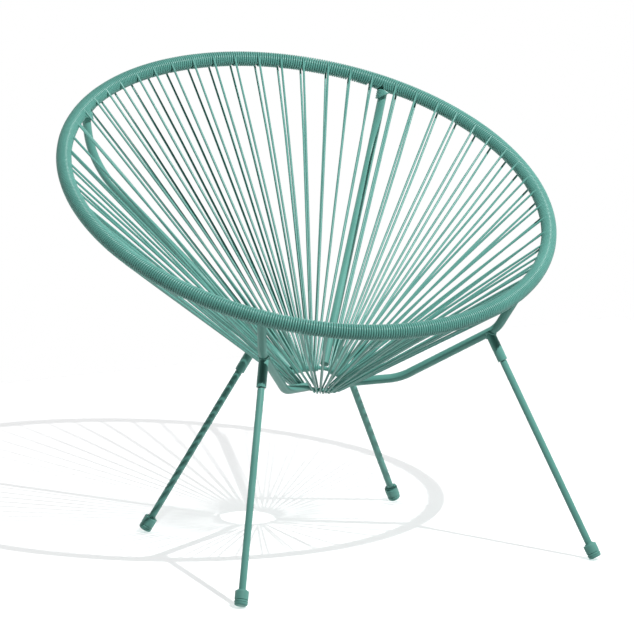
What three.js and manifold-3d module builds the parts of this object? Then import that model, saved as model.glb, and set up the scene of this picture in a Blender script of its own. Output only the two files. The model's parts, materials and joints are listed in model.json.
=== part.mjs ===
// A round lounge chair for a patio. A tilted steel hoop and a small centre ring are laced together
// with plastic cord, which makes the seat. Four bent ribs carry the hoop from the ring, and four
// straight legs screw into sockets that are welded under the ribs.
// Millimetres, +Z up. The chair faces -Y and is as wide along X.

import * as THREE from 'three';
import { mergeVertices } from 'three/addons/utils/BufferGeometryUtils.js';
import Module from 'manifold-3d';

const wasm = await Module();
wasm.setup();

const degrees = THREE.MathUtils.degToRad;

// Hoop: the rim of the seat, a rolled tube
const HOOP_RADIUS = 365;
const HOOP_TUBE_DIAMETER = 16.4;
const HOOP_CENTRE_HEIGHT = 524;
const HOOP_TILT = degrees(25.7);

// Centre ring: the small rod ring that gathers the cords
const RING_RADIUS = 42;
const RING_ROD_DIAMETER = 6;
const RING_DROP = 281.4;
const RING_FORWARD = 23.4;
const RING_TILT = degrees(13);

// Ribs: four bent tubes between the ring and the hoop
const RIB_DIAMETER = 13;
const REAR_BEND_RADIUS = 116;
const FRONT_UPPER_BEND_RADIUS = 50;
const FRONT_LOWER_BEND_RADIUS = 80;
const REAR_JOINT_ANGLE = degrees(46);
const FRONT_JOINT_ANGLE = degrees(-55);
const REAR_RING_ANGLE = degrees(50);
const FRONT_RING_ANGLE = degrees(-46);
const REAR_BEND_DROP = 88.4;
const REAR_BEND_INSET = 14.7;
const REAR_BEND_BACK = 12.7;
const FRONT_UPPER_DROP = 60.2;
const FRONT_UPPER_INSET = 18.9;
const FRONT_UPPER_BACK = 38.4;
const FRONT_LOWER_OUT = 94.5;
const FRONT_LOWER_FORWARD = 107.5;
const FRONT_LOWER_RISE = 13.5;
const RING_JOINT_RISE = 3;

// Legs: straight rods with a threaded end, each in a socket under a rib
const LEG_DIAMETER = 10.2;
const STUD_DIAMETER = 8;
const STUD_LENGTH = 24;
const STUD_CHAMFER = 1;
const FRONT_SEAT_FROM_BEND = 13;
const FRONT_FOOT_OUT = 104.2;
const FRONT_FOOT_FORWARD = 127.8;
const REAR_SEAT_ALONG_RIB = 63;
const REAR_FOOT_OUT = 152.5;
const REAR_FOOT_BACK = 94.9;
const SOCKET_DIAMETER = 14.4;
const SOCKET_BORE = 11.4;
const FRONT_SOCKET_LENGTH = 46;
const REAR_SOCKET_LENGTH = 60;
const NUT_LENGTH = 14;
const NUT_RECESS = 1;

// Feet: a moulded cap on each leg, with a pad under it
const CAP_DIAMETER = 19.6;
const CAP_LENGTH = 18;
const CAP_SHOULDER = 4;
const CAP_NECK_WALL = 1.6;
const CAP_FLOOR = 4;
const PAD_DIAMETER = 19.2;
const PAD_THICKNESS = 4.6;
const PAD_EDGE = 1.2;
const PAD_STEM_DIAMETER = 6;
const PAD_STEM_LENGTH = 3.4;
const PAD_WEAR = 1;

// Cord: one plastic cord wound on the hoop and strung to the ring.
// A ridge of the winding stands for about five turns of the real cord.
const CORD_DIAMETER = 3.6;
const RIDGES_PER_STATION = 2;
const WINDING_VALLEY = 2.7;
const WINDING_BORE_CLEARANCE = 1.4;
const CORD_GAP = 0.65;
const CORD_EXIT_HEIGHT = 7.5;
const EMBED_RADIUS = 9.84;
const RIB_PASSAGE = 9;
const RING_PASSAGE = 9;

// Stations: where the cord leaves the winding for the ring, counted between the ribs
const STATIONS = { front: 12, right: 17, rear: 15, left: 16 };
const LENGTHS = { front: 3, right: 4, rear: 3, left: 4 };

const GAP = 0.3;
const OVERRUN = 40;

const HOOP_SEGMENTS = 60;
const RING_SEGMENTS = 32;
const HOOP_SIDES = 8;
const RING_SIDES = 6;
const RIB_SIDES = 8;
const LEG_SIDES = 12;
const CAP_SIDES = 14;
const CORD_SIDES = 4;
const BEND_STEPS = 4;
const LOOP_STEPS = 4;
const GAP_SAMPLES = 24;

const steel = new THREE.MeshStandardMaterial({ color: 0x5f9a8e, roughness: 0.45, metalness: 0.35 });
const cordPlastic = new THREE.MeshStandardMaterial({ color: 0x65a396, roughness: 0.38, metalness: 0 });
const capPlastic = new THREE.MeshStandardMaterial({ color: 0x55897e, roughness: 0.6, metalness: 0 });
const zinc = new THREE.MeshStandardMaterial({ color: 0xb9bdbf, roughness: 0.35, metalness: 0.9 });

// A tilted circle through its centre, with the directions out, along and square to it
function tiltedCircle(centre, radius, tilt) {
  const normal = new THREE.Vector3(0, -Math.sin(tilt), Math.cos(tilt));
  const out = (angle) => new THREE.Vector3(
    Math.cos(angle), Math.sin(angle) * Math.cos(tilt), Math.sin(angle) * Math.sin(tilt));
  const along = (angle) => out(angle + Math.PI / 2);
  const point = (angle) => out(angle).multiplyScalar(radius).add(centre);
  return { centre, radius, tilt, normal, out, along, point };
}

const hoop = tiltedCircle(new THREE.Vector3(0, 0, HOOP_CENTRE_HEIGHT), HOOP_RADIUS, HOOP_TILT);
const ringCentre = new THREE.Vector3(0, -RING_FORWARD, HOOP_CENTRE_HEIGHT - RING_DROP);
const ring = tiltedCircle(ringCentre, RING_RADIUS, RING_TILT);

// Solids: to and from the boolean library
function toSolid(geometry) {
  const bare = geometry.clone();
  bare.deleteAttribute('normal');
  bare.deleteAttribute('uv');
  const merged = mergeVertices(bare, 1e-4);
  const vertProperties = new Float32Array(merged.attributes.position.array);
  const triVerts = new Uint32Array(merged.index.array);
  return new wasm.Manifold(new wasm.Mesh({ numProp: 3, vertProperties, triVerts }));
}

function toGeometry(solid) {
  const mesh = solid.getMesh();
  const geometry = new THREE.BufferGeometry();
  geometry.setAttribute('position', new THREE.BufferAttribute(mesh.vertProperties, mesh.numProp));
  geometry.setIndex(new THREE.BufferAttribute(mesh.triVerts, 1));
  geometry.computeVertexNormals();
  return geometry;
}

function fromLists(points, faces) {
  const geometry = new THREE.BufferGeometry();
  const values = points.flatMap((point) => [point.x, point.y, point.z]);
  geometry.setAttribute('position', new THREE.Float32BufferAttribute(values, 3));
  geometry.setIndex(faces.flat());
  geometry.computeVertexNormals();
  return geometry;
}

// A route whose steps fall on its own points, so that a bend gets steps and a straight gets none
class Route extends THREE.Curve {
  constructor(points) {
    super();
    this.points = points;
  }

  getPoint(share) {
    const place = share * (this.points.length - 1);
    const first = Math.min(Math.floor(place), this.points.length - 2);
    return this.points[first].clone().lerp(this.points[first + 1], place - first);
  }

  getPointAt(share) {
    return this.getPoint(share);
  }

  getTangentAt(share) {
    const last = this.points.length - 1;
    const here = Math.round(share * last);
    const before = this.points[Math.max(here - 1, 0)];
    const after = this.points[Math.min(here + 1, last)];
    const middle = this.points[here];
    const arriving = middle.clone().sub(before).normalize();
    const leaving = after.clone().sub(middle).normalize();
    return arriving.add(leaving).normalize();
  }

  getSpacedPoints() {
    return this.points.map((point) => point.clone());
  }
}

// Corner points of a tube's centreline, with each inner corner rounded to its bend's radius
function roundedRoute(corners, bendRadii) {
  const points = [corners[0]];
  for (let i = 1; i < corners.length - 1; i += 1) {
    const corner = corners[i];
    const bendRadius = bendRadii[i - 1];
    const arriving = corners[i - 1].clone().sub(corner).normalize();
    const leaving = corners[i + 1].clone().sub(corner).normalize();
    const turn = Math.PI - arriving.angleTo(leaving);
    const setback = bendRadius * Math.tan(turn / 2);
    const middle = arriving.clone().add(leaving).normalize();
    const arcCentre = corner.clone().addScaledVector(middle, bendRadius / Math.cos(turn / 2));
    const from = corner.clone().addScaledVector(arriving, setback).sub(arcCentre);
    const axis = new THREE.Vector3().crossVectors(leaving, arriving).normalize();
    for (let step = 0; step <= BEND_STEPS; step += 1) {
      const turned = from.clone().applyAxisAngle(axis, turn * step / BEND_STEPS);
      points.push(turned.add(arcCentre));
    }
  }
  points.push(corners[corners.length - 1]);
  return points;
}

function polygon(radius, sides) {
  const corners = [];
  for (let i = 0; i < sides; i += 1) {
    const angle = 2 * Math.PI * i / sides;
    corners.push(new THREE.Vector2(radius * Math.cos(angle), radius * Math.sin(angle)));
  }
  return new THREE.Shape(corners);
}

function tube(points, radius) {
  return new THREE.ExtrudeGeometry(polygon(radius, RIB_SIDES), {
    steps: points.length - 1, bevelEnabled: false, extrudePath: new Route(points),
  });
}

function circleTube(circle, radius, sides, segments) {
  const geometry = new THREE.TorusGeometry(circle.radius, radius, sides, segments);
  geometry.rotateX(circle.tilt);
  geometry.translate(circle.centre.x, circle.centre.y, circle.centre.z);
  return geometry;
}

// A turned piece: its profile runs up the Z axis, then the whole is set on a leg's axis
function turned(profile, sides, foot, direction) {
  const points = profile.map(([radius, height]) => new THREE.Vector2(radius, height));
  const geometry = new THREE.LatheGeometry(points, sides);
  geometry.rotateX(Math.PI / 2);
  const turn = new THREE.Quaternion().setFromUnitVectors(new THREE.Vector3(0, 0, 1), direction);
  geometry.applyQuaternion(turn);
  geometry.translate(foot.x, foot.y, foot.z);
  return geometry;
}

const chair = new THREE.Group();

function add(name, geometry, material) {
  const mesh = new THREE.Mesh(geometry, material);
  mesh.name = name;
  chair.add(mesh);
}

// Hoop and centre ring
add('hoop_tube', circleTube(hoop, HOOP_TUBE_DIAMETER / 2, HOOP_SIDES, HOOP_SEGMENTS), steel);
add('centre_ring', circleTube(ring, RING_ROD_DIAMETER / 2, RING_SIDES, RING_SEGMENTS), steel);

// The hoop's tube with its clearance, which copes the ribs' upper ends
const hoopClearance = toSolid(
  circleTube(hoop, HOOP_TUBE_DIAMETER / 2 + GAP, HOOP_SIDES, HOOP_SEGMENTS));

function mirrored(angle, side) {
  return side > 0 ? angle : Math.PI - angle;
}

// The point of the ring's outer face that a rib's end stops at
function ringEnd(angle, next) {
  const centre = ring.point(angle);
  centre.z += RING_JOINT_RISE;
  const direction = next.clone().sub(centre).normalize();
  return centre.addScaledVector(direction, RING_ROD_DIAMETER / 2 + RING_JOINT_RISE + GAP);
}

function rearCorners(side) {
  const joint = hoop.point(mirrored(REAR_JOINT_ANGLE, side));
  const bend = joint.clone();
  bend.x -= side * REAR_BEND_INSET;
  bend.y += REAR_BEND_BACK;
  bend.z -= REAR_BEND_DROP;
  return [ringEnd(mirrored(REAR_RING_ANGLE, side), bend), bend, joint];
}

function frontCorners(side) {
  const joint = hoop.point(mirrored(FRONT_JOINT_ANGLE, side));
  const upper = joint.clone();
  upper.x -= side * FRONT_UPPER_INSET;
  upper.y += FRONT_UPPER_BACK;
  upper.z -= FRONT_UPPER_DROP;
  const lower = ring.point(mirrored(FRONT_RING_ANGLE, side));
  lower.x = side * FRONT_LOWER_OUT;
  lower.y = -FRONT_LOWER_FORWARD;
  lower.z += FRONT_LOWER_RISE;
  return [ringEnd(mirrored(FRONT_RING_ANGLE, side), lower), lower, upper, joint];
}

// A leg's axis: from the rib that carries its socket down to the middle of its pad's face
function legAxis(seat, footX, footY) {
  const foot = new THREE.Vector3(footX, footY, 0);
  const radius = PAD_DIAMETER / 2;
  let direction = seat.clone().sub(foot).normalize();
  for (let round = 0; round < 4; round += 1) {
    foot.z = radius * Math.sqrt(1 - direction.z ** 2) - PAD_WEAR;
    direction = seat.clone().sub(foot).normalize();
  }
  return { seat, foot, direction, length: seat.distanceTo(foot) };
}

function socket(axis, length, ribSolid) {
  const outer = SOCKET_DIAMETER / 2;
  const bore = SOCKET_BORE / 2;
  const profile = [[bore, -length], [outer, -length], [outer, 0], [bore, 0], [bore, -length]];
  return toGeometry(toSolid(turned(profile, LEG_SIDES, axis.seat, axis.direction)).subtract(ribSolid));
}

function socketNut(axis, length) {
  const outer = SOCKET_BORE / 2 - GAP;
  const bore = STUD_DIAMETER / 2 + GAP;
  const bottom = -length + NUT_RECESS;
  const top = bottom + NUT_LENGTH;
  const profile = [[bore, bottom], [outer, bottom], [outer, top], [bore, top], [bore, bottom]];
  return turned(profile, LEG_SIDES, axis.seat, axis.direction);
}

function leg(axis, socketLength) {
  const radius = LEG_DIAMETER / 2;
  const stud = STUD_DIAMETER / 2;
  const bottom = PAD_THICKNESS + GAP + CAP_FLOOR + GAP;
  const shoulder = axis.length - socketLength - GAP;
  const tip = shoulder + STUD_LENGTH;
  const profile = [
    [0, bottom], [radius, bottom], [radius, shoulder], [stud, shoulder],
    [stud, tip - STUD_CHAMFER], [stud - STUD_CHAMFER, tip], [0, tip],
  ];
  return turned(profile, LEG_SIDES, axis.foot, axis.direction);
}

function footCap(axis) {
  const outer = CAP_DIAMETER / 2;
  const bore = LEG_DIAMETER / 2 + GAP;
  const hole = PAD_STEM_DIAMETER / 2 + GAP;
  const neck = bore + CAP_NECK_WALL;
  const bottom = PAD_THICKNESS + GAP;
  const floor = bottom + CAP_FLOOR;
  const top = bottom + CAP_LENGTH;
  const shoulderMiddle = (outer + neck) / 2 + (outer - neck) / 4;
  const profile = [
    [hole, bottom], [outer - PAD_EDGE / 2, bottom], [outer, bottom + PAD_EDGE / 2],
    [outer, top - CAP_SHOULDER], [shoulderMiddle, top - CAP_SHOULDER / 3], [neck, top],
    [bore, top], [bore, floor], [hole, floor], [hole, bottom],
  ];
  return turned(profile, CAP_SIDES, axis.foot, axis.direction);
}

// The pad's lower edge is worn flat where the tilted foot meets the floor
function footPad(axis) {
  const outer = PAD_DIAMETER / 2;
  const stem = PAD_STEM_DIAMETER / 2;
  const profile = [
    [0, 0], [outer, 0], [outer, PAD_THICKNESS - PAD_EDGE],
    [outer - PAD_EDGE, PAD_THICKNESS], [stem, PAD_THICKNESS],
    [stem, PAD_THICKNESS + PAD_STEM_LENGTH], [0, PAD_THICKNESS + PAD_STEM_LENGTH],
  ];
  const floor = new THREE.BoxGeometry(OVERRUN, OVERRUN, OVERRUN);
  floor.translate(axis.foot.x, axis.foot.y, -OVERRUN / 2);
  return toGeometry(toSolid(turned(profile, CAP_SIDES, axis.foot, axis.direction)).subtract(toSolid(floor)));
}

function addCorner(end, side, corners, bendRadii, axis, socketLength) {
  const hand = side > 0 ? 'right' : 'left';
  const points = roundedRoute(corners, bendRadii);
  const rib = toSolid(tube(points, RIB_DIAMETER / 2)).subtract(hoopClearance);
  const ribClearance = toSolid(tube(points, RIB_DIAMETER / 2 + GAP));
  add(`${end}_rib_${hand}`, toGeometry(rib), steel);
  add(`${end}_leg_socket_${hand}`, socket(axis, socketLength, ribClearance), steel);
  add(`${end}_socket_nut_${hand}`, socketNut(axis, socketLength), zinc);
  add(`${end}_leg_${hand}`, leg(axis, socketLength), steel);
  add(`${end}_foot_cap_${hand}`, footCap(axis), capPlastic);
  add(`${end}_foot_pad_${hand}`, footPad(axis), capPlastic);
  return axis;
}

// Ribs, sockets, legs and feet, each side of the middle
let frontFoot;
for (const side of [1, -1]) {
  const front = frontCorners(side);
  const downArm = front[1].clone().sub(front[2]).normalize();
  const frontSeat = front[2].clone().addScaledVector(downArm, FRONT_SEAT_FROM_BEND);
  const frontAxis = legAxis(
    frontSeat, frontSeat.x + side * FRONT_FOOT_OUT, frontSeat.y - FRONT_FOOT_FORWARD);
  const frontRadii = [FRONT_LOWER_BEND_RADIUS, FRONT_UPPER_BEND_RADIUS];
  frontFoot = addCorner('front', side, front, frontRadii, frontAxis, FRONT_SOCKET_LENGTH).foot;

  const rear = rearCorners(side);
  const upRib = rear[1].clone().sub(rear[0]).normalize();
  const rearSeat = rear[0].clone().addScaledVector(upRib, REAR_SEAT_ALONG_RIB);
  const rearAxis = legAxis(
    rearSeat, rearSeat.x + side * REAR_FOOT_OUT, rearSeat.y + REAR_FOOT_BACK);
  addCorner('rear', side, rear, [REAR_BEND_RADIUS], rearAxis, REAR_SOCKET_LENGTH);
}

// The winding on a stretch of the hoop: one ridge that runs as a helix from end to end,
// over a plain sleeve with the hoop's tube in its bore
function winding(fromAngle, toAngle, turns) {
  const last = turns * HOOP_SIDES;
  const tubeRadius = HOOP_TUBE_DIAMETER / 2;
  const crest = tubeRadius + CORD_DIAMETER;
  const valley = tubeRadius + WINDING_VALLEY;
  const bore = tubeRadius + WINDING_BORE_CLEARANCE;
  const points = [];
  const faces = [];

  const place = (share, corner, radius) => {
    const angle = fromAngle + (toAngle - fromAngle) * share;
    const around = 2 * Math.PI * corner / HOOP_SIDES;
    const point = hoop.point(angle);
    point.addScaledVector(hoop.out(angle), radius * Math.cos(around));
    point.addScaledVector(hoop.normal, radius * Math.sin(around));
    return points.push(point) - 1;
  };
  const around = (share, radius) => {
    const row = [];
    for (let j = 0; j < HOOP_SIDES; j += 1) row.push(place(share, j, radius));
    row.push(row[0]);
    return row;
  };
  const face = (a, b, c) => {
    if (a !== b && b !== c && c !== a) faces.push([a, b, c]);
  };
  const patch = (a, b, c, d) => {
    face(a, b, c);
    face(a, c, d);
  };

  const start = around(0, valley);
  const end = around(1, valley);
  const ridge = [];
  const groove = [];
  for (let k = 0; k <= last; k += 1) {
    const rise = Math.min(1, k / HOOP_SIDES, (last - k) / HOOP_SIDES);
    if (k === 0) ridge.push(start[0]);
    else if (k === last) ridge.push(end[0]);
    else ridge.push(place(k / last, k, valley + (crest - valley) * rise));
  }
  for (let k = 0; k <= last - HOOP_SIDES; k += 1) {
    groove.push(place((k + HOOP_SIDES / 2) / last, k, valley));
  }

  for (let j = 0; j < HOOP_SIDES; j += 1) {
    const tail = last - HOOP_SIDES + j;
    patch(start[j], ridge[j], ridge[j + 1], start[j + 1]);
    patch(ridge[tail], end[j], end[j + 1], ridge[tail + 1]);
  }
  for (let k = 0; k < last - HOOP_SIDES; k += 1) {
    patch(ridge[k], groove[k], groove[k + 1], ridge[k + 1]);
    patch(groove[k], ridge[k + HOOP_SIDES], ridge[k + HOOP_SIDES + 1], groove[k + 1]);
  }
  face(start[0], ridge[HOOP_SIDES], groove[0]);
  face(ridge[last - HOOP_SIDES], groove[last - HOOP_SIDES], end[0]);

  const boreSteps = Math.ceil((toAngle - fromAngle) / (2 * Math.PI / HOOP_SEGMENTS));
  const boreRows = [];
  for (let i = 0; i <= boreSteps; i += 1) boreRows.push(around(i / boreSteps, bore));
  for (let j = 0; j < HOOP_SIDES; j += 1) {
    for (let i = 0; i < boreSteps; i += 1) {
      patch(boreRows[i][j], boreRows[i][j + 1], boreRows[i + 1][j + 1], boreRows[i + 1][j]);
    }
    patch(start[j], start[j + 1], boreRows[0][j + 1], boreRows[0][j]);
    patch(end[j], boreRows[boreSteps][j], boreRows[boreSteps][j + 1], end[j + 1]);
  }
  return fromLists(points, faces);
}

// One station's cord: off the top of the winding, down to the ring, round its rod from the
// inside and back up to the underside of the winding. The cord is soft, and where the
// stations crowd round the ring it is squeezed narrow. Both ends are cut to the winding's
// wall, and each corner of an end stops at the same depth in it.
function stationRoute(station) {
  const fromHoop = hoop.point(station.hoopAngle);
  const toRing = ring.point(station.ringAngle);
  const down = toRing.clone().sub(fromHoop).normalize();
  const acrossHoop = hoop.along(station.hoopAngle);
  const acrossRing = ring.along(station.ringAngle);
  const upHoop = new THREE.Vector3().crossVectors(acrossHoop, down).normalize();
  const upRing = new THREE.Vector3().crossVectors(acrossRing, down).normalize();
  const loopRadius = (RING_ROD_DIAMETER + CORD_DIAMETER) / 2 / Math.cos(Math.PI / 2 / LOOP_STEPS)
    + GAP;
  const full = CORD_DIAMETER / 2;
  const steps = [];
  const end = (side) => {
    const point = fromHoop.clone().addScaledVector(upHoop, side * CORD_EXIT_HEIGHT);
    return { point, across: acrossHoop, half: full, side, fromHoop, upHoop, down };
  };
  steps.push(end(1));
  for (let i = 0; i <= LOOP_STEPS; i += 1) {
    const angle = Math.PI * i / LOOP_STEPS;
    const point = toRing.clone();
    point.addScaledVector(upRing, loopRadius * Math.cos(angle));
    point.addScaledVector(down, loopRadius * Math.sin(angle));
    steps.push({ point, across: acrossRing, half: station.halfAtRing });
  }
  steps.push(end(-1));
  return steps;
}

// The corner of a cord's end, stopped inside the winding's wall
function endCorner(step, across, height) {
  const reach = Math.min(CORD_EXIT_HEIGHT + height, EMBED_RADIUS - GAP);
  const depth = Math.sqrt(EMBED_RADIUS ** 2 - reach ** 2);
  const point = step.fromHoop.clone().addScaledVector(step.across, across);
  return point.addScaledVector(step.upHoop, step.side * reach).addScaledVector(step.down, depth);
}

function stationCord(station) {
  const steps = stationRoute(station);
  const points = [];
  const faces = [];
  const last = steps.length - 1;
  steps.forEach((step, i) => {
    const before = steps[Math.max(i - 1, 0)].point;
    const after = steps[Math.min(i + 1, last)].point;
    const arriving = i > 0 ? step.point.clone().sub(before).normalize() : new THREE.Vector3();
    const leaving = i < last ? after.clone().sub(step.point).normalize() : new THREE.Vector3();
    const ahead = arriving.add(leaving).normalize();
    const across = step.across.clone().addScaledVector(ahead, -step.across.dot(ahead)).normalize();
    const outward = new THREE.Vector3().crossVectors(across, ahead);
    for (let j = 0; j < CORD_SIDES; j += 1) {
      const angle = 2 * Math.PI * j / CORD_SIDES + Math.PI / 2;
      const sideways = step.half * Math.cos(angle);
      const height = CORD_DIAMETER / 2 * Math.sin(angle);
      if (step.side) {
        points.push(endCorner(step, sideways, height));
      } else {
        const corner = step.point.clone().addScaledVector(across, sideways);
        points.push(corner.addScaledVector(outward, height));
      }
    }
  });
  for (let i = 0; i < last; i += 1) {
    for (let j = 0; j < CORD_SIDES; j += 1) {
      const a = i * CORD_SIDES + j;
      const b = i * CORD_SIDES + (j + 1) % CORD_SIDES;
      faces.push([a, b + CORD_SIDES, b], [a, a + CORD_SIDES, b + CORD_SIDES]);
    }
  }
  for (let j = 1; j < CORD_SIDES - 1; j += 1) {
    const end = last * CORD_SIDES;
    faces.push([0, j, j + 1], [end, end + j + 1, end + j]);
  }
  return fromLists(points, faces);
}

// Sectors of the seat: between two ribs, from joint to joint on the hoop and on the ring
const FULL_TURN = 2 * Math.PI;
const sectors = [
  {
    name: 'front',
    hoopFrom: -Math.PI - FRONT_JOINT_ANGLE, hoopTo: FRONT_JOINT_ANGLE,
    ringFrom: -Math.PI - FRONT_RING_ANGLE, ringTo: FRONT_RING_ANGLE,
  },
  {
    name: 'right',
    hoopFrom: FRONT_JOINT_ANGLE, hoopTo: REAR_JOINT_ANGLE,
    ringFrom: FRONT_RING_ANGLE, ringTo: REAR_RING_ANGLE,
  },
  {
    name: 'rear',
    hoopFrom: REAR_JOINT_ANGLE, hoopTo: Math.PI - REAR_JOINT_ANGLE,
    ringFrom: REAR_RING_ANGLE, ringTo: Math.PI - REAR_RING_ANGLE,
  },
  {
    name: 'left',
    hoopFrom: Math.PI - REAR_JOINT_ANGLE, hoopTo: FULL_TURN - Math.PI - FRONT_JOINT_ANGLE,
    ringFrom: Math.PI - REAR_RING_ANGLE, ringTo: FULL_TURN - Math.PI - FRONT_RING_ANGLE,
  },
];

function stationsOf(sector) {
  const count = STATIONS[sector.name];
  const hoopStep = (sector.hoopTo - sector.hoopFrom) / count;
  const passage = RING_PASSAGE / ring.radius;
  const ringStep = (sector.ringTo - sector.ringFrom - 2 * passage) / (count - 1);
  const innerRadius = ring.radius - (RING_ROD_DIAMETER + CORD_DIAMETER) / 2 - 2 * GAP;
  const halfAtRing = (ringStep * innerRadius - CORD_GAP) / 2;
  const stations = [];
  for (let i = 0; i < count; i += 1) {
    stations.push({
      hoopAngle: sector.hoopFrom + hoopStep * (i + 1 / 2),
      ringAngle: sector.ringFrom + passage + ringStep * i,
      halfAtRing: Math.min(CORD_DIAMETER / 2, halfAtRing),
    });
  }
  return stations;
}

// The least gap between two neighbouring cords, measured from points on one to the other's runs
function leastGap(first, second) {
  const one = stationRoute(first);
  const two = stationRoute(second);
  const run = new THREE.Line3();
  const nearest = new THREE.Vector3();
  let least = Infinity;
  for (let i = 0; i < one.length - 1; i += 1) {
    for (let k = 0; k <= GAP_SAMPLES; k += 1) {
      const share = k / GAP_SAMPLES;
      const here = one[i].point.clone().lerp(one[i + 1].point, share);
      const half = THREE.MathUtils.lerp(one[i].half, one[i + 1].half, share);
      for (let j = 0; j < two.length - 1; j += 1) {
        run.set(two[j].point, two[j + 1].point);
        const place = run.closestPointToPointParameter(here, true);
        const otherHalf = THREE.MathUtils.lerp(two[j].half, two[j + 1].half, place);
        const distance = here.distanceTo(run.at(place, nearest));
        least = Math.min(least, distance - half - otherHalf);
      }
    }
  }
  return least;
}

// Seat cord: the winding and its stations, cut into lengths that meet inside the winding
let narrowest = Infinity;
for (const sector of sectors) {
  const stations = stationsOf(sector);
  for (let i = 1; i < stations.length; i += 1) {
    narrowest = Math.min(narrowest, leastGap(stations[i - 1], stations[i]));
  }
  const lengths = LENGTHS[sector.name];
  const hoopStep = (sector.hoopTo - sector.hoopFrom) / stations.length;
  for (let i = 0; i < lengths; i += 1) {
    const first = Math.ceil(stations.length * i / lengths);
    const next = Math.ceil(stations.length * (i + 1) / lengths);
    const startGap = i === 0 ? RIB_PASSAGE : GAP;
    const endGap = i === lengths - 1 ? RIB_PASSAGE : GAP;
    const fromAngle = sector.hoopFrom + hoopStep * first + startGap / hoop.radius;
    const toAngle = sector.hoopFrom + hoopStep * next - endGap / hoop.radius;
    let solid = toSolid(winding(fromAngle, toAngle, (next - first) * RIDGES_PER_STATION));
    for (const station of stations.slice(first, next)) {
      solid = solid.add(toSolid(stationCord(station)));
    }
    add(`seat_cord_${sector.name}_${i + 1}`, toGeometry(solid), cordPlastic);
  }
}
console.log(`least gap between neighbouring cords: ${narrowest.toFixed(2)} mm`);

// The origin is on the floor under the middle of the chair's length
const tilt = Math.hypot(FRONT_FOOT_OUT, FRONT_FOOT_FORWARD);
const footReach = PAD_DIAMETER / 2 * Math.cos(Math.atan2(tilt, HOOP_CENTRE_HEIGHT));
const frontEdge = frontFoot.y - footReach;
const rearEdge = hoop.point(Math.PI / 2).y + HOOP_TUBE_DIAMETER / 2 + CORD_DIAMETER;
chair.position.y = -(frontEdge + rearEdge) / 2;

const group = new THREE.Group();
group.add(chair);

export default group;
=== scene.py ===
# A round patio lounge chair: a tilted steel hoop laced to a small centre ring with plastic cord,
# on bent ribs and four screwed-in legs. Sizes are in metres and angles in radians.

import json
import math
from typing import NamedTuple

import bmesh
import bpy
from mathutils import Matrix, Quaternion, Vector
from mathutils.geometry import intersect_point_line


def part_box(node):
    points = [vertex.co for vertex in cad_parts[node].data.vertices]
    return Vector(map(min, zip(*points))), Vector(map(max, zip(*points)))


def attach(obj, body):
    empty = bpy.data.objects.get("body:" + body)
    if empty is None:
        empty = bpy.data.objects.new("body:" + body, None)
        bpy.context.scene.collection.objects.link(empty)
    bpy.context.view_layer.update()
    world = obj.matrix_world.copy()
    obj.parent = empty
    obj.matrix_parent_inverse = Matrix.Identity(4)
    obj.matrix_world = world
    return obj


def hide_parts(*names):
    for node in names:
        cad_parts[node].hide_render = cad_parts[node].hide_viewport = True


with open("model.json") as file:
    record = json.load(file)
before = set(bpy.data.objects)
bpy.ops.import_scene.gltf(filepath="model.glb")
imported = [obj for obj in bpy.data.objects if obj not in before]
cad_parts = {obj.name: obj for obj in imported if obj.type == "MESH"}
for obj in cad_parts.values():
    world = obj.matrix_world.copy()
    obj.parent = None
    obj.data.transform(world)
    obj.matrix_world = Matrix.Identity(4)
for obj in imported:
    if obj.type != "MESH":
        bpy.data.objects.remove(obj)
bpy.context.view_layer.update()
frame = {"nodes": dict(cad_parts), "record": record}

# Driving sizes, the same as the frame's solids
HOOP_RADIUS = 0.365
HOOP_TUBE = 0.0164
HOOP_TILT = math.radians(25.7)
HOOP_HEIGHT = 0.524
RING_RADIUS = 0.042
RING_ROD = 0.006
RING_DROP = 0.2814
RING_FORWARD = 0.0234
RING_TILT = math.radians(13)
CORD = 0.0036
TURN_PITCH = 0.00362
RIB = 0.013
REAR_JOINT = math.radians(46)
FRONT_JOINT = math.radians(-55)
REAR_RING = math.radians(50)
FRONT_RING = math.radians(-46)
RING_PASSAGE = 0.009
RING_JOINT_RISE = 0.003
REAR_BEND = Vector((-0.0147, 0.0127, -0.0884))
FRONT_UPPER_BEND = Vector((-0.0189, 0.0384, -0.0602))
FRONT_LOWER_BEND = Vector((0.0945, -0.1075, 0.0135))
REAR_BEND_RADIUS = 0.116
FRONT_BEND_RADII = (0.08, 0.05)
LEG = 0.0102
STUD = 0.008
STUD_LENGTH = 0.024
FRONT_SEAT_FROM_BEND = 0.013
FRONT_FOOT_REACH = (0.1042, -0.1278)
REAR_SEAT_ALONG_RIB = 0.063
REAR_FOOT_REACH = (0.1525, 0.0949)
SOCKET = 0.0144
SOCKET_BORE = 0.0114
FRONT_SOCKET_LENGTH = 0.046
REAR_SOCKET_LENGTH = 0.060
CAP = 0.0196
CAP_LENGTH = 0.018
CAP_NECK_WALL = 0.0016
CAP_FLOOR = 0.004
PAD = 0.0192
PAD_THICKNESS = 0.0046
PAD_STEM = 0.006
PAD_STEM_LENGTH = 0.0034
PAD_WEAR = 0.001
GAP = 0.0003

# Where the hoop is in the frame: its tube's box gives the centre
hoop_low, hoop_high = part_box("hoop_tube")
HOOP_CENTRE = (Vector(hoop_low) + Vector(hoop_high)) / 2
RING_CENTRE = HOOP_CENTRE + Vector((0, -RING_FORWARD, -RING_DROP))


class Circle:
    """A tilted circle with its directions out, along and square to it."""

    def __init__(self, centre, radius, tilt):
        self.centre = centre
        self.radius = radius
        self.tilt = tilt
        self.normal = Vector((0, -math.sin(tilt), math.cos(tilt)))

    def out(self, angle):
        rise = math.sin(angle)
        return Vector((math.cos(angle), rise * math.cos(self.tilt), rise * math.sin(self.tilt)))

    def along(self, angle):
        return self.out(angle + math.pi / 2)

    def point(self, angle):
        return self.centre + self.out(angle) * self.radius


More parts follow.
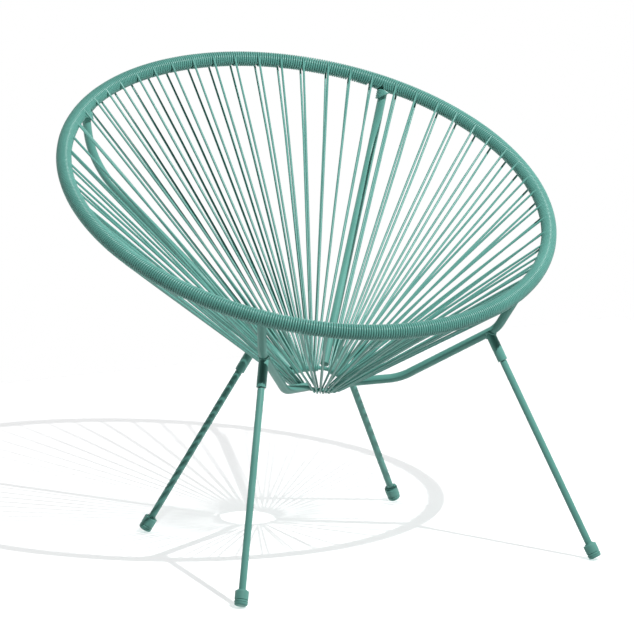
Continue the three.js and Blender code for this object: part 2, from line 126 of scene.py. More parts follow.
hoop = Circle(HOOP_CENTRE, HOOP_RADIUS, HOOP_TILT)
ring = Circle(RING_CENTRE, RING_RADIUS, RING_TILT)


# Materials
class Finish(NamedTuple):
    """How a coat or a plastic looks. Noise scales are per metre, and depths are in metres."""

    colour: tuple
    deep_colour: tuple
    drift_scale: float
    drift_range: tuple
    gloss_scale: float
    roughness_range: tuple
    grain_scale: float
    grain_detail: float
    grain_strength: float
    grain_depth: float
    sheen: float


# Extruded vinyl cord: glossy, with soft colour drift along it and a faint drawn grain
CORD_FINISH = Finish(
    colour=(0.120, 0.335, 0.290), deep_colour=(0.098, 0.290, 0.250),
    drift_scale=26.0, drift_range=(0.3, 0.72),
    gloss_scale=90.0, roughness_range=(0.26, 0.38),
    grain_scale=700.0, grain_detail=2.0, grain_strength=0.12, grain_depth=0.0003,
    sheen=0.36,
)

# Powder-coated steel: satin, with a fine orange-peel skin and slight colour drift
COAT_FINISH = Finish(
    colour=(0.118, 0.318, 0.274), deep_colour=(0.100, 0.280, 0.240),
    drift_scale=18.0, drift_range=(0.3, 0.7),
    gloss_scale=60.0, roughness_range=(0.3, 0.44),
    grain_scale=900.0, grain_detail=1.0, grain_strength=0.18, grain_depth=0.0004,
    sheen=0.25,
)

# Moulded plastic of the feet: matte, with a fine spark-eroded grain
FOOT_FINISH = Finish(
    colour=(0.116, 0.310, 0.268), deep_colour=(0.098, 0.272, 0.234),
    drift_scale=40.0, drift_range=(0.3, 0.75),
    gloss_scale=120.0, roughness_range=(0.45, 0.62),
    grain_scale=1500.0, grain_detail=2.0, grain_strength=0.25, grain_depth=0.0003,
    sheen=0.25,
)

# Zinc-plated steel of the nuts, with turned marks that run round the axis
ZINC_COLOUR = (0.6, 0.62, 0.63)
ZINC_STRETCH = (1, 1, 40)
ZINC_GLOSS_SCALE = 60.0
ZINC_ROUGHNESS = (0.25, 0.45)
ZINC_MARK_SCALE = 200.0
ZINC_MARK_STRENGTH = 0.2
ZINC_MARK_DEPTH = 0.0003

# Detail of every noise but a grain
NOISE_DETAIL = 3.0


def new_material(name, colour):
    material = bpy.data.materials.new(name)
    material.use_nodes = True
    shader = material.node_tree.nodes["Principled BSDF"]
    shader.inputs["Base Color"].default_value = (*colour, 1)
    return material, material.node_tree, shader


def object_place(tree, scale=(1, 1, 1)):
    """Object coordinates through a Mapping node."""
    place = tree.nodes.new("ShaderNodeTexCoord")
    mapping = tree.nodes.new("ShaderNodeMapping")
    mapping.inputs["Scale"].default_value = scale
    tree.links.new(place.outputs["Object"], mapping.inputs["Vector"])
    return mapping.outputs["Vector"]


def noise(tree, place, scale, detail=NOISE_DETAIL):
    node = tree.nodes.new("ShaderNodeTexNoise")
    node.inputs["Scale"].default_value = scale
    node.inputs["Detail"].default_value = detail
    tree.links.new(place, node.inputs["Vector"])
    return node.outputs["Fac"]


def ramp(tree, value, places, first, second):
    """A colour ramp between two places of a value."""
    node = tree.nodes.new("ShaderNodeValToRGB")
    for element, place, colour in zip(node.color_ramp.elements, places, (first, second)):
        element.position = place
        element.color = (*colour, 1)
    tree.links.new(value, node.inputs["Fac"])
    return node.outputs["Color"]


def bump(tree, shader, height, strength, distance):
    node = tree.nodes.new("ShaderNodeBump")
    node.inputs["Strength"].default_value = strength
    node.inputs["Distance"].default_value = distance
    tree.links.new(height, node.inputs["Height"])
    tree.links.new(node.outputs["Normal"], shader.inputs["Normal"])


def vary_roughness(tree, shader, value, span):
    node = tree.nodes.new("ShaderNodeMapRange")
    node.inputs["To Min"].default_value, node.inputs["To Max"].default_value = span
    tree.links.new(value, node.inputs["Value"])
    tree.links.new(node.outputs["Result"], shader.inputs["Roughness"])


def finished(name, finish):
    """A material with the colour drift, uneven gloss and grain of a finish."""
    material, tree, shader = new_material(name, finish.colour)
    place = object_place(tree)
    drift = noise(tree, place, finish.drift_scale)
    colour = ramp(tree, drift, finish.drift_range, finish.deep_colour, finish.colour)
    tree.links.new(colour, shader.inputs["Base Color"])
    gloss = noise(tree, place, finish.gloss_scale)
    vary_roughness(tree, shader, gloss, finish.roughness_range)
    grain = noise(tree, place, finish.grain_scale, finish.grain_detail)
    bump(tree, shader, grain, finish.grain_strength, finish.grain_depth)
    shader.inputs["Specular IOR Level"].default_value = finish.sheen
    return material


def zinc_plate():
    material, tree, shader = new_material("zinc_plate", ZINC_COLOUR)
    shader.inputs["Metallic"].default_value = 1.0
    place = object_place(tree, ZINC_STRETCH)
    vary_roughness(tree, shader, noise(tree, place, ZINC_GLOSS_SCALE), ZINC_ROUGHNESS)
    marks = noise(tree, place, ZINC_MARK_SCALE)
    bump(tree, shader, marks, ZINC_MARK_STRENGTH, ZINC_MARK_DEPTH)
    return material


cord_look = finished("cord_plastic", CORD_FINISH)
coat_look = finished("powder_coat", COAT_FINISH)
foot_look = finished("foot_plastic", FOOT_FINISH)
zinc_look = zinc_plate()


# Making and placing pieces
def finish_piece(piece, look, slot_name, *nodes):
    """Gives a piece its look and its body, and hides the solids that it stands for."""
    piece.data.materials.clear()
    piece.data.materials.append(look)
    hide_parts(*nodes)
    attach(piece, "root")


def link_mesh(name, mesh_builder, smooth=True):
    mesh = bpy.data.meshes.new(name)
    bmesh.ops.recalc_face_normals(mesh_builder, faces=mesh_builder.faces)
    mesh_builder.to_mesh(mesh)
    mesh_builder.free()
    for polygon in mesh.polygons:
        polygon.use_smooth = smooth
    piece = bpy.data.objects.new(name, mesh)
    bpy.context.scene.collection.objects.link(piece)
    return piece


def strung(name, routes, thickness, bevel_steps, sizes=None, cyclic=False):
    """A tube along each route, made as a curve. Its sizes are shares of the thickness."""
    curve = bpy.data.curves.new(name, "CURVE")
    curve.dimensions = "3D"
    curve.bevel_depth = thickness / 2
    curve.bevel_resolution = bevel_steps
    curve.use_fill_caps = True
    curve.twist_mode = "MINIMUM"
    for number, route in enumerate(routes):
        spline = curve.splines.new("POLY")
        spline.points.add(len(route) - 1)
        spline.use_cyclic_u = cyclic
        spline.use_smooth = True
        for i, place in enumerate(route):
            spline.points[i].co = (*place, 1)
            if sizes:
                spline.points[i].radius = sizes[number][i]
    holder = bpy.data.objects.new(name + "_route", curve)
    bpy.context.scene.collection.objects.link(holder)
    depsgraph = bpy.context.evaluated_depsgraph_get()
    mesh = bpy.data.meshes.new_from_object(holder.evaluated_get(depsgraph))
    bpy.data.objects.remove(holder)
    bpy.data.curves.remove(curve)
    mesh.name = name
    for polygon in mesh.polygons:
        polygon.use_smooth = True
    piece = bpy.data.objects.new(name, mesh)
    bpy.context.scene.collection.objects.link(piece)
    return piece


def joined(name, *pieces):
    """Several meshes made into one piece."""
    builder = bmesh.new()
    for piece in pieces:
        builder.from_mesh(piece.data)
        bpy.data.objects.remove(piece)
    return link_mesh(name, builder)


# Turned pieces: a profile of (radius, height) spun about the axis of a leg
TURN_SEGMENTS = 40
SOFT_STEPS = 4
SOFT_LIMIT_SHARE = 0.45
MERGE_DISTANCE = 1e-6
SHARP_ANGLE = math.radians(32)


def softened(profile, radius):
    """The profile with each inner corner rounded."""
    corners = [Vector(corner) for corner in profile]
    soft = [corners[0]]
    for before, corner, after in zip(corners, corners[1:], corners[2:]):
        back = before - corner
        ahead = after - corner
        reach = min(radius, min(back.length, ahead.length) * SOFT_LIMIT_SHARE)
        start = corner + back.normalized() * reach
        end = corner + ahead.normalized() * reach
        for step in range(SOFT_STEPS + 1):
            share = step / SOFT_STEPS
            soft.append(start.lerp(corner, share).lerp(corner.lerp(end, share), share))
    soft.append(corners[-1])
    return soft


def turned(name, profile, origin, direction):
    builder = bmesh.new()
    corners = [builder.verts.new((radius, 0, height)) for radius, height in profile]
    edges = [builder.edges.new(pair) for pair in zip(corners, corners[1:])]
    bmesh.ops.spin(
        builder, geom=corners + edges, cent=(0, 0, 0), axis=(0, 0, 1), dvec=(0, 0, 0),
        angle=2 * math.pi, steps=TURN_SEGMENTS, use_merge=True, use_duplicate=False,
    )
    bmesh.ops.remove_doubles(builder, verts=builder.verts, dist=MERGE_DISTANCE)
    turn = Vector((0, 0, 1)).rotation_difference(direction).to_matrix()
    bmesh.ops.rotate(builder, verts=builder.verts, cent=(0, 0, 0), matrix=turn)
    bmesh.ops.translate(builder, verts=builder.verts, vec=origin)
    piece = link_mesh(name, builder)
    piece.data.set_sharp_from_angle(angle=SHARP_ANGLE)
    return piece


# Frame: hoop, centre ring and the four bent ribs
BEND_STEPS = 14
CIRCLE_STEPS = 240
HOOP_BEVEL_STEPS = 5
RING_BEVEL_STEPS = 4
RIB_BEVEL_STEPS = 9
WELD = 0.0034
WELD_STEPS = 40
WELD_BEVEL_STEPS = 2
WELD_WAVE = 0.16
WELD_WAVE_RATE = 1.7


def circle_route(circle, steps):
    return [circle.point(2 * math.pi * i / steps) for i in range(steps)]


def mirrored(angle, side):
    return angle if side > 0 else math.pi - angle


def sided(offset, side):
    return Vector((offset.x * side, offset.y, offset.z))


def ring_end(angle, towards):
    """Where a rib's end is welded to the outside of the ring."""
    place = ring.point(angle) + Vector((0, 0, RING_JOINT_RISE))
    return place + (towards - place).normalized() * (RING_ROD / 2 + RING_JOINT_RISE / 2)


def rib_corners(end, side):
    if end == "rear":
        joint = hoop.point(mirrored(REAR_JOINT, side))
        bend = joint + sided(REAR_BEND, side)
        return [ring_end(mirrored(REAR_RING, side), bend), bend, joint]
    joint = hoop.point(mirrored(FRONT_JOINT, side))
    upper = joint + sided(FRONT_UPPER_BEND, side)
    lower = HOOP_CENTRE + sided(FRONT_LOWER_BEND, side)
    lower.z += ring.point(FRONT_RING).z - HOOP_CENTRE.z
    return [ring_end(mirrored(FRONT_RING, side), lower), lower, upper, joint]


def rounded_route(corners, radii):
    """A tube's centreline with its bends rounded."""
    places = [corners[0]]
    for i, radius in enumerate(radii, start=1):
        corner = corners[i]
        back = (corners[i - 1] - corner).normalized()
        ahead = (corners[i + 1] - corner).normalized()
        turn = math.pi - back.angle(ahead)
        setback = radius * math.tan(turn / 2)
        middle = (back + ahead).normalized()
        arc_centre = corner + middle * (radius / math.cos(turn / 2))
        arm = corner + back * setback - arc_centre
        axis = ahead.cross(back).normalized()
        for step in range(BEND_STEPS + 1):
            places.append(arc_centre + Quaternion(axis, turn * step / BEND_STEPS) @ arm)
    places.append(corners[-1])
    return places


def nearest_on_route(route, place):
    """The nearest point of a route, with the way that it runs there."""
    best = None
    for first, second in zip(route, route[1:]):
        point, share = intersect_point_line(place, first, second)
        point = first.lerp(second, min(max(share, 0), 1))
        distance = (point - place).length
        if best is None or distance < best[0]:
            best = (distance, point, (second - first).normalized())
    return best[1], best[2]


def weld_bead(name, seat, rib_way, axis_down):
    """The weld where a socket meets its rib: it follows the line that the two tubes share."""
    first = axis_down.cross(rib_way).normalized()
    second = axis_down.cross(first)
    flat_axis = axis_down - rib_way * axis_down.dot(rib_way)
    places = []
    for i in range(WELD_STEPS + 1):
        angle = 2 * math.pi * i / WELD_STEPS
        offset = (first * math.cos(angle) + second * math.sin(angle)) * SOCKET / 2
        flat = offset - rib_way * offset.dot(rib_way)
        along = -flat.dot(flat_axis) / flat_axis.length_squared
        under = (RIB / 2) ** 2 - (flat + flat_axis * along).length_squared
        if under > 0:
            along += math.sqrt(under) / flat_axis.length
        places.append(seat + offset + axis_down * along)
    sizes = [1 + WELD_WAVE * math.sin(i * WELD_WAVE_RATE) for i in range(WELD_STEPS)]
    return strung(name, [places], WELD, WELD_BEVEL_STEPS, [sizes + sizes[:1]])


hoop_route = circle_route(hoop, CIRCLE_STEPS)
hoop_tube = strung("hoop", [hoop_route], HOOP_TUBE, HOOP_BEVEL_STEPS, cyclic=True)
finish_piece(hoop_tube, coat_look, "frame_steel", "hoop_tube")
ring_route = circle_route(ring, CIRCLE_STEPS // 2)
ring_rod = strung("ring", [ring_route], RING_ROD, RING_BEVEL_STEPS, cyclic=True)
finish_piece(ring_rod, coat_look, "frame_steel", "centre_ring")

# Sockets, legs and feet: rounded edges, and the groove near the foot's end. The wall of a socket's
# bore starts under the rib's centreline, inside the rib.
FOOT_ROUNDS = 4
SOCKET_BORE_TOP = 0.006
SOCKET_EDGE = 0.0005
LEG_EDGE = 0.0006
CAP_SHOULDER = 0.0028
CAP_COLLAR = 0.0016
PAD_ROUND = 0.0028
ROUND_STEPS = 7
CAP_GROOVE_RISE = 0.0016
CAP_GROOVE_WIDTH = 0.0022
CAP_GROOVE_DEPTH = 0.0009


def leg_axis(seat, reach, side):
    """From the rib down to the middle of the pad's face, which is tilted on the floor."""
    foot = Vector((seat.x + side * reach[0], seat.y + reach[1], 0))
    for _ in range(FOOT_ROUNDS):
        direction = (seat - foot).normalized()
        foot.z = PAD / 2 * math.sqrt(1 - direction.z ** 2) - PAD_WEAR
    return foot, (seat - foot).normalized()


def make_socket(name, seat, up, length, rib_route):
    outer, bore = SOCKET / 2, SOCKET_BORE / 2
    profile = softened([
        (bore, -SOCKET_BORE_TOP), (bore, -length), (outer, -length), (outer, 0), (bore, 0),
    ], SOCKET_EDGE)
    tube = turned(name + "_tube", profile, seat, up)
    place, way = nearest_on_route(rib_route, seat)
    bead = weld_bead(name + "_weld", place, way, -up)
    return joined(name, tube, bead)


def make_leg(name, foot, up, length, socket_length):
    radius, stud = LEG / 2, STUD / 2
    bottom = PAD_THICKNESS + CAP_FLOOR + 2 * GAP
    shoulder = length - socket_length - GAP
    tip = shoulder + STUD_LENGTH
    profile = softened([
        (0, bottom), (radius, bottom), (radius, shoulder), (stud, shoulder), (stud, tip), (0, tip),
    ], LEG_EDGE)
    return turned(name, profile, foot, up)


def make_cap(name, foot, up):
    outer = CAP / 2
    bore = LEG / 2 + GAP
    hole = PAD_STEM / 2 + GAP
    neck = bore + CAP_NECK_WALL
    bottom = PAD_THICKNESS + GAP
    top = bottom + CAP_LENGTH
    groove = bottom + CAP_GROOVE_RISE
    waist = outer - CAP_GROOVE_DEPTH
    foot_end = [
        (hole, bottom), (outer - GAP, bottom), (outer, bottom + GAP), (outer, groove),
        (waist, groove + CAP_GROOVE_DEPTH), (waist, groove + CAP_GROOVE_WIDTH - CAP_GROOVE_DEPTH),
    ]
    shoulder = softened([
        (outer, groove + CAP_GROOVE_WIDTH), (outer, top - CAP_COLLAR), (neck, top - CAP_COLLAR),
    ], CAP_SHOULDER)
    collar = softened([
        (neck, top - CAP_COLLAR), (neck, top), (bore, top), (bore, bottom + CAP_FLOOR),
    ], LEG_EDGE)
    closing = [(hole, bottom + CAP_FLOOR), (hole, bottom)]
    return turned(name, [*foot_end, *shoulder, *collar[1:], *closing], foot, up)


def make_pad(name, foot, up):
    outer, stem = PAD / 2, PAD_STEM / 2
    rim = []
    for step in range(ROUND_STEPS + 1):
        angle = step / ROUND_STEPS * math.pi / 2
        rim.append((
            outer - PAD_ROUND * (1 - math.sin(angle)), PAD_ROUND * (1 - math.cos(angle))))
    profile = [
        (0, 0), *rim, (outer, PAD_THICKNESS - GAP), (outer - GAP, PAD_THICKNESS),
        (stem, PAD_THICKNESS), (stem, PAD_THICKNESS + PAD_STEM_LENGTH),
        (0, PAD_THICKNESS + PAD_STEM_LENGTH),
    ]
    pad = turned(name + "_whole", profile, foot, up)
    builder = bmesh.new()
    builder.from_mesh(pad.data)
    bpy.data.objects.remove(pad)
    cut = bmesh.ops.bisect_plane(
        builder, geom=builder.verts[:] + builder.edges[:] + builder.faces[:],
        plane_co=(0, 0, 0), plane_no=(0, 0, -1), clear_outer=True,
    )
    worn = [item for item in cut["geom_cut"] if isinstance(item, bmesh.types.BMEdge)]
    if worn:
        bmesh.ops.edgenet_fill(builder, edges=worn)
    piece = link_mesh(name, builder)
    piece.data.set_sharp_from_angle(angle=SHARP_ANGLE)
    return piece


def make_corner(end, side):
    """One rib with its socket, leg and foot."""
    hand = "right" if side > 0 else "left"
    corners = rib_corners(end, side)
    if end == "front":
        route = rounded_route(corners, FRONT_BEND_RADII)
        seat = corners[2] + (corners[1] - corners[2]).normalized() * FRONT_SEAT_FROM_BEND
        reach, socket_length = FRONT_FOOT_REACH, FRONT_SOCKET_LENGTH
    else:
        route = rounded_route(corners, [REAR_BEND_RADIUS])
        seat = rear_seat(side)
        reach, socket_length = REAR_FOOT_REACH, REAR_SOCKET_LENGTH
    foot, up = leg_axis(seat, reach, side)
    length = (seat - foot).length
    name = f"{end}_rib_{hand}"
    rib = strung("bent_" + name, [route], RIB, RIB_BEVEL_STEPS)
    finish_piece(rib, coat_look, "frame_steel", name)
    name = f"{end}_leg_socket_{hand}"
    socket = make_socket("welded_" + name, seat, up, socket_length, route)
    finish_piece(socket, coat_look, "frame_steel", name)
    name = f"{end}_leg_{hand}"
    leg = make_leg("turned_" + name, foot, up, length, socket_length)
    finish_piece(leg, coat_look, "frame_steel", name)
    name = f"{end}_foot_cap_{hand}"
    finish_piece(make_cap("moulded_" + name, foot, up), foot_look, "foot_plastic", name)
    name = f"{end}_foot_pad_{hand}"
    finish_piece(make_pad("moulded_" + name, foot, up), foot_look, "foot_plastic", name)


def rear_seat(side):
    bend = hoop.point(mirrored(REAR_JOINT, side)) + sided(REAR_BEND, side)
    place = ring.point(mirrored(REAR_RING, side)) + Vector((0, 0, RING_JOINT_RISE))
    up_rib = (bend - place).normalized()
    return place + up_rib * (RING_ROD / 2 + RING_JOINT_RISE + GAP + REAR_SEAT_ALONG_RIB)


for corner_end in ("front", "rear"):
    for corner_side in (1, -1):
        make_corner(corner_end, corner_side)


# Seat cord: wound round the hoop, and from each station down to the ring and back
TURN_STEPS = 16
RUN_STEPS = 8
LOOP_STEPS = 10
CORD_BEVEL_STEPS = 3

# Shares of the cord's thickness, as wound on the hoop and as squeezed close to the ring
WOUND = 0.88
RING_SQUEEZE = 0.74
SQUEEZE_REACH = 0.05

# Every second loop lies a little further out on the ring's rod
RING_STAGGER = 0.0008

# Near a rib the turns crowd aside over this length, and pile up by this share of the cord
RIB_CLEARANCE = (RIB + CORD) / 2 + GAP
RIB_CROWD = 0.042
RIB_HALF_ANGLE = math.radians(75)
PILE = 0.5


class Sector(NamedTuple):
    """The part of the seat between two ribs: its angles on the hoop and on the ring."""

    hoop_from: float
    hoop_to: float
    ring_from: float
    ring_to: float
    stations: int
    node_count: int


SECTORS = {
    "front": Sector(
        -math.pi - FRONT_JOINT, FRONT_JOINT, -math.pi - FRONT_RING, FRONT_RING, 12, 3),
    "right": Sector(FRONT_JOINT, REAR_JOINT, FRONT_RING, REAR_RING, 17, 4),
    "rear": Sector(
        REAR_JOINT, math.pi - REAR_JOINT, REAR_RING, math.pi - REAR_RING, 15, 3),
    "left": Sector(
        math.pi - REAR_JOINT, math.pi - FRONT_JOINT, math.pi - REAR_RING, math.pi - FRONT_RING,
        16, 4),
}


def around_hoop(angle, turn, radius):
    direction = hoop.out(angle) * math.cos(turn) + hoop.normal * math.sin(turn)
    return hoop.point(angle) + direction * radius


def rib_around(joint):
    """The way that a rib leaves the hoop's tube, as an angle round the tube from outward."""
    side = 1 if math.cos(joint) > 0 else -1
    bend = FRONT_UPPER_BEND if math.sin(joint) < 0 else REAR_BEND
    way = sided(bend, side)
    return math.atan2(way.dot(hoop.normal), way.dot(hoop.out(joint)))


def wound_place(angle, turn, sector):
    """A point of the winding: near a rib the turns crowd aside to let it out of the hoop."""
    radius = (HOOP_TUBE + CORD) / 2
    for joint, side in ((sector.hoop_from, 1), (sector.hoop_to, -1)):
        distance = max(0.0, (angle - joint) * side * HOOP_RADIUS)
        if distance > RIB_CROWD:
            continue
        apart = math.remainder(turn - rib_around(joint), 2 * math.pi)
        near = math.cos(min(abs(apart) / RIB_HALF_ANGLE, 1) * math.pi / 2)
        pushed = RIB_CLEARANCE + distance * (RIB_CROWD - RIB_CLEARANCE) / RIB_CROWD
        crowding = 1 - distance / RIB_CROWD
        radius += CORD * PILE * near * crowding ** 2
        angle += side * (pushed - distance) * near / HOOP_RADIUS
    return around_hoop(angle, turn, radius)


def station_run(hoop_angle, ring_angle, lift):
    """From the winding's top down to the ring, round its rod and back to the underside."""
    start = hoop.point(hoop_angle)
    goal = ring.point(ring_angle)
    down = (goal - start).normalized()
    up_hoop = hoop.along(hoop_angle).cross(down).normalized()
    up_ring = ring.along(ring_angle).cross(down).normalized()
    wrap = (HOOP_TUBE + CORD) / 2
    loop = (RING_ROD + CORD * RING_SQUEEZE) / 2 + lift
    top = start + up_hoop * wrap
    under = start - up_hoop * wrap
    places = []
    sizes = []
    ring_top = goal + up_ring * loop
    ring_under = goal - up_ring * loop
    length = (ring_top - top).length
    for i in range(1, RUN_STEPS):
        share = run_share(i)
        places.append(top.lerp(ring_top, share))
        sizes.append(squeeze(length * (1 - share)))
    for i in range(LOOP_STEPS + 1):
        angle = math.pi * i / LOOP_STEPS
        places.append(goal + up_ring * (loop * math.cos(angle)) + down * (loop * math.sin(angle)))
        sizes.append(RING_SQUEEZE)
    for i in range(RUN_STEPS - 1, 0, -1):
        share = run_share(i)
        places.append(under.lerp(ring_under, share))
        sizes.append(squeeze(length * (1 - share)))
    tangent_turn = math.atan2(up_hoop.dot(hoop.normal), up_hoop.dot(hoop.out(hoop_angle)))
    return places, sizes, tangent_turn


def run_share(i):
    """Steps crowd towards the ring, where the cord narrows."""
    return 1 - (1 - i / RUN_STEPS) ** 2


def squeeze(from_ring):
    return RING_SQUEEZE + (1 - RING_SQUEEZE) * min(1.0, from_ring / SQUEEZE_REACH)


def station_leaving(sector, i, turn_at):
    """The turn at which a station's cord leaves the winding, with its place on the ring."""
    passage = RING_PASSAGE / RING_RADIUS
    ring_step = (sector.ring_to - sector.ring_from - 2 * passage) / (sector.stations - 1)
    ring_angle = sector.ring_from + passage + ring_step * i
    wanted = sector.hoop_from + (sector.hoop_to - sector.hoop_from) * (i + 0.5) / sector.stations
    tangent = station_run(wanted, ring_angle, 0)[2]
    whole = round((turn_at(wanted) - tangent) / (2 * math.pi))
    return 2 * math.pi * whole + tangent, ring_angle, RING_STAGGER * (i % 2)


def sector_route(sector):
    """One unbroken cord: turns round the hoop with a run to the ring at each station."""
    hoop_from, hoop_to = sector.hoop_from, sector.hoop_to
    turns = round((hoop_to - hoop_from) * HOOP_RADIUS / TURN_PITCH)
    first_turn = rib_around(hoop_from)
    last_turn = rib_around(hoop_to) + 2 * math.pi * turns
    pitch = (hoop_to - hoop_from) / (last_turn - first_turn)

    def angle_at(turn):
        return hoop_from + pitch * (turn - first_turn)

    def turn_at(angle):
        return first_turn + (angle - hoop_from) / pitch

    stations = [station_leaving(sector, i, turn_at) for i in range(sector.stations)]
    inside = HOOP_TUBE / 2 - CORD
    places = [around_hoop(hoop_from, first_turn, inside)]
    sizes = [WOUND]
    turn = first_turn
    while turn <= last_turn:
        if stations and turn >= stations[0][0]:
            leaves, ring_angle, lift = stations.pop(0)
            places.append(wound_place(angle_at(leaves), leaves, sector))
            run_places, run_sizes, _ = station_run(angle_at(leaves), ring_angle, lift)
            places.extend(run_places)
            sizes.extend([WOUND, *run_sizes])
            turn = leaves + math.pi
        places.append(wound_place(angle_at(turn), turn, sector))
        sizes.append(WOUND)
        turn += 2 * math.pi / TURN_STEPS
    places.append(around_hoop(hoop_to, last_turn, inside))
    sizes.append(WOUND)
    return places, sizes


# Lashing: at the rear ribs a few turns are taken round the rib's top, fanned out on one side
LASH_TURNS = 5
LASH_STEPS = 28
LASH_DROP = 0.0085
LASH_FAN = 0.0032
LASH_BACK = 0.5
LASH_SWELL_SHARE = 0.22


def lashing(joint):
    """Turns round the top of a rear rib, close together on its outer side."""
    side = 1 if math.cos(joint) > 0 else -1
    down = sided(REAR_BEND, side).normalized()
    inward = Vector((-side, LASH_BACK, 0))
    inward = (inward - down * inward.dot(down)).normalized()
    across = down.cross(inward)
    places = []
    for i in range(LASH_TURNS * LASH_STEPS + 1):
        turn = 2 * math.pi * i / LASH_STEPS
        fan = (1 + math.cos(turn)) / 2
        level = i / LASH_STEPS
        radius = RIB_CLEARANCE + CORD * LASH_SWELL_SHARE * level * (1 - fan)
        fall = LASH_DROP + LASH_FAN * level * fan
        way = inward * math.cos(turn) + across * math.sin(turn)
        places.append(hoop.point(joint) + down * fall + way * radius)
    return places


for sector_name, sector in SECTORS.items():
    route, route_sizes = sector_route(sector)
    routes = [route]
    thicknesses = [route_sizes]
    if sector_name == "rear":
        for rear_joint in (sector.hoop_from, sector.hoop_to):
            wrap_route = lashing(rear_joint)
            routes.append(wrap_route)
            thicknesses.append([1.0] * len(wrap_route))
    seat_cord = strung("cord_" + sector_name, routes, CORD, CORD_BEVEL_STEPS, thicknesses)
    nodes = [f"seat_cord_{sector_name}_{i + 1}" for i in range(sector.node_count)]
    finish_piece(seat_cord, cord_look, "seat_cord", *nodes)


# The looks of the solids that stay
LOOKS = {
    "frame_steel": coat_look,
    "foot_plastic": foot_look,
    "zinc": zinc_look,
    "seat_cord": cord_look,
}
for entry in frame["record"]["subparts"]:
    node = frame["nodes"][entry["node"]]
    for material_slot in node.material_slots:
        material_slot.material = LOOKS[entry["material_slot"]]


# Floor and light: a plain pale floor under one hard lamp, with a bright backdrop behind and below
FLOOR_HALF = 1.3
FLOOR_COLOUR = (0.88, 0.88, 0.885)
FLOOR_ROUGHNESS = 0.9
FLOOR_SHEEN = 0.05
KEY_FROM_HOOP = Vector((0.497, -2.309, 2.969))
KEY_SIZE = 0.045
KEY_POWER = 205
FLOOR_KEY_POWER = 118
FLOOR_WASH = 1.58
WASH_HEIGHT = 4
WHITE = (1, 1, 1, 1)
BACKDROP = 2.3
ROOM = 0.05
BACKDROP_WAY = (0.33, 0.66, -0.67)
BACKDROP_SOFTNESS = 0.3
MIRRORED_SHARE = 0.35


def floor():
    builder = bmesh.new()
    bmesh.ops.create_grid(builder, x_segments=1, y_segments=1, size=FLOOR_HALF)
    piece = link_mesh("floor", builder, smooth=False)
    material, _, shader = new_material("floor_paint", FLOOR_COLOUR)
    shader.inputs["Roughness"].default_value = FLOOR_ROUGHNESS
    shader.inputs["Specular IOR Level"].default_value = FLOOR_SHEEN
    piece.data.materials.append(material)
    piece.visible_diffuse = False
    piece.visible_glossy = False
    return piece


def add_lamp(name, data, place, target):
    lamp = bpy.data.objects.new(name, data)
    bpy.context.scene.collection.objects.link(lamp)
    lamp.location = place
    lamp.rotation_mode = "QUATERNION"
    lamp.rotation_quaternion = (place - target).to_track_quat("Z", "Y")
    return lamp


def key_lamp(name, power):
    data = bpy.data.lights.new(name, "AREA")
    data.shape = "DISK"
    data.size = KEY_SIZE
    data.energy = power
    return add_lamp(name, data, HOOP_CENTRE + KEY_FROM_HOOP, HOOP_CENTRE)


def light_the_floor(floor_piece):
    """The floor has its own dimmer key and an even wash, so that the chair's shadow stays pale."""
    floor_only = bpy.data.collections.new("floor_only")
    floor_only.objects.link(floor_piece)
    not_floor = bpy.data.collections.new("not_floor")
    not_floor.objects.link(floor_piece)
    not_floor.collection_objects[0].light_linking.link_state = "EXCLUDE"
    key_lamp("key", KEY_POWER).light_linking.receiver_collection = not_floor
    key_lamp("floor_key", FLOOR_KEY_POWER).light_linking.receiver_collection = floor_only
    data = bpy.data.lights.new("floor_wash", "SUN")
    data.energy = FLOOR_WASH
    lamp = add_lamp("floor_wash", data, Vector((0, 0, WASH_HEIGHT)), Vector())
    lamp.light_linking.receiver_collection = floor_only
    lamp.light_linking.blocker_collection = floor_only


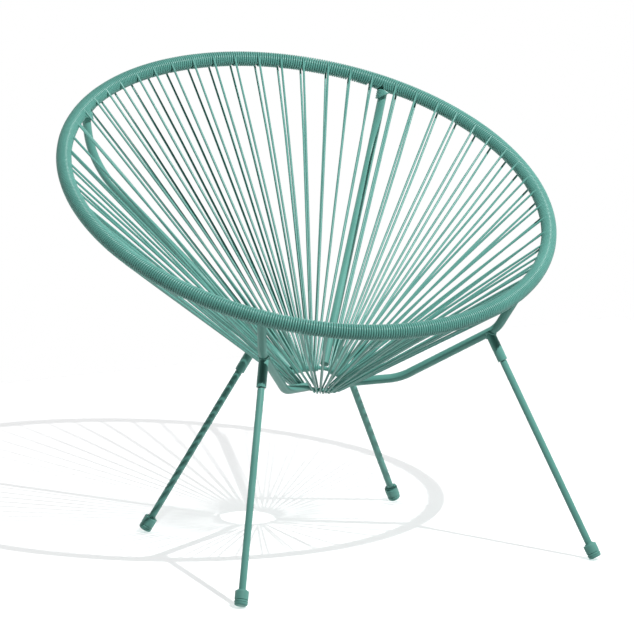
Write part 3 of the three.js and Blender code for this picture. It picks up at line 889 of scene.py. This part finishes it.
def surround():
    """A white backdrop behind the chair and a dark room in front, dimmer in reflections.

    Where the camera sees it, it is plain white.
    """
    world = bpy.data.worlds.new("studio")
    bpy.context.scene.world = world
    world.use_nodes = True
    tree = world.node_tree
    soft = tree.nodes["Background"]
    soft.inputs["Color"].default_value = WHITE
    place = tree.nodes.new("ShaderNodeTexCoord")
    facing = tree.nodes.new("ShaderNodeVectorMath")
    facing.operation = "DOT_PRODUCT"
    facing.inputs[1].default_value = BACKDROP_WAY
    tree.links.new(place.outputs["Generated"], facing.inputs[0])
    level = tree.nodes.new("ShaderNodeMapRange")
    level.interpolation_type = "SMOOTHSTEP"
    level.inputs["From Min"].default_value = -BACKDROP_SOFTNESS
    level.inputs["From Max"].default_value = BACKDROP_SOFTNESS
    level.inputs["To Min"].default_value = ROOM
    level.inputs["To Max"].default_value = BACKDROP
    tree.links.new(facing.outputs["Value"], level.inputs["Value"])
    ray = tree.nodes.new("ShaderNodeLightPath")
    mirrored_share = tree.nodes.new("ShaderNodeMapRange")
    mirrored_share.inputs["To Min"].default_value = 1
    mirrored_share.inputs["To Max"].default_value = MIRRORED_SHARE
    tree.links.new(ray.outputs["Is Glossy Ray"], mirrored_share.inputs["Value"])
    strength = tree.nodes.new("ShaderNodeMath")
    strength.operation = "MULTIPLY"
    tree.links.new(level.outputs["Result"], strength.inputs[0])
    tree.links.new(mirrored_share.outputs["Result"], strength.inputs[1])
    tree.links.new(strength.outputs["Value"], soft.inputs["Strength"])
    seen = tree.nodes.new("ShaderNodeBackground")
    mix = tree.nodes.new("ShaderNodeMixShader")
    seen.inputs["Color"].default_value = WHITE
    tree.links.new(ray.outputs["Is Camera Ray"], mix.inputs[0])
    tree.links.new(soft.outputs[0], mix.inputs[1])
    tree.links.new(seen.outputs[0], mix.inputs[2])
    tree.links.new(mix.outputs[0], tree.nodes["World Output"].inputs["Surface"])


light_the_floor(floor())
surround()
bpy.context.scene.view_settings.view_transform = "Standard"

# Camera: where the photograph was taken from
CAMERA_FROM_HOOP = Vector((-2.8534, -5.7406, 1.0053))
CAMERA_YAW = math.radians(26.53)
CAMERA_PITCH = math.radians(10.58)
CAMERA_ROLL = -0.013
FOCAL_PIXELS = 4379
PHOTO_PIXELS = 634
SENSOR_MM = 36
CAMERA_SIGHT = 100


def make_camera():
    forward = Vector((
        math.sin(CAMERA_YAW) * math.cos(CAMERA_PITCH),
        math.cos(CAMERA_YAW) * math.cos(CAMERA_PITCH),
        -math.sin(CAMERA_PITCH),
    ))
    level_right = Vector((math.cos(CAMERA_YAW), -math.sin(CAMERA_YAW), 0))
    level_up = level_right.cross(forward)
    up = level_up * math.cos(CAMERA_ROLL) - level_right * math.sin(CAMERA_ROLL)
    data = bpy.data.cameras.new("camera")
    data.sensor_width = SENSOR_MM
    data.lens = FOCAL_PIXELS / PHOTO_PIXELS * SENSOR_MM
    data.clip_end = CAMERA_SIGHT
    camera = bpy.data.objects.new("camera", data)
    bpy.context.scene.collection.objects.link(camera)
    camera.location = HOOP_CENTRE + CAMERA_FROM_HOOP
    camera.rotation_mode = "QUATERNION"
    turn = (-forward).to_track_quat("Z", "Y")
    spin_up = turn @ Vector((0, 1, 0))
    spin = math.atan2(spin_up.cross(up).dot(-forward), spin_up.dot(up))
    camera.rotation_quaternion = Quaternion(-forward, spin) @ turn
    bpy.context.scene.camera = camera


make_camera()
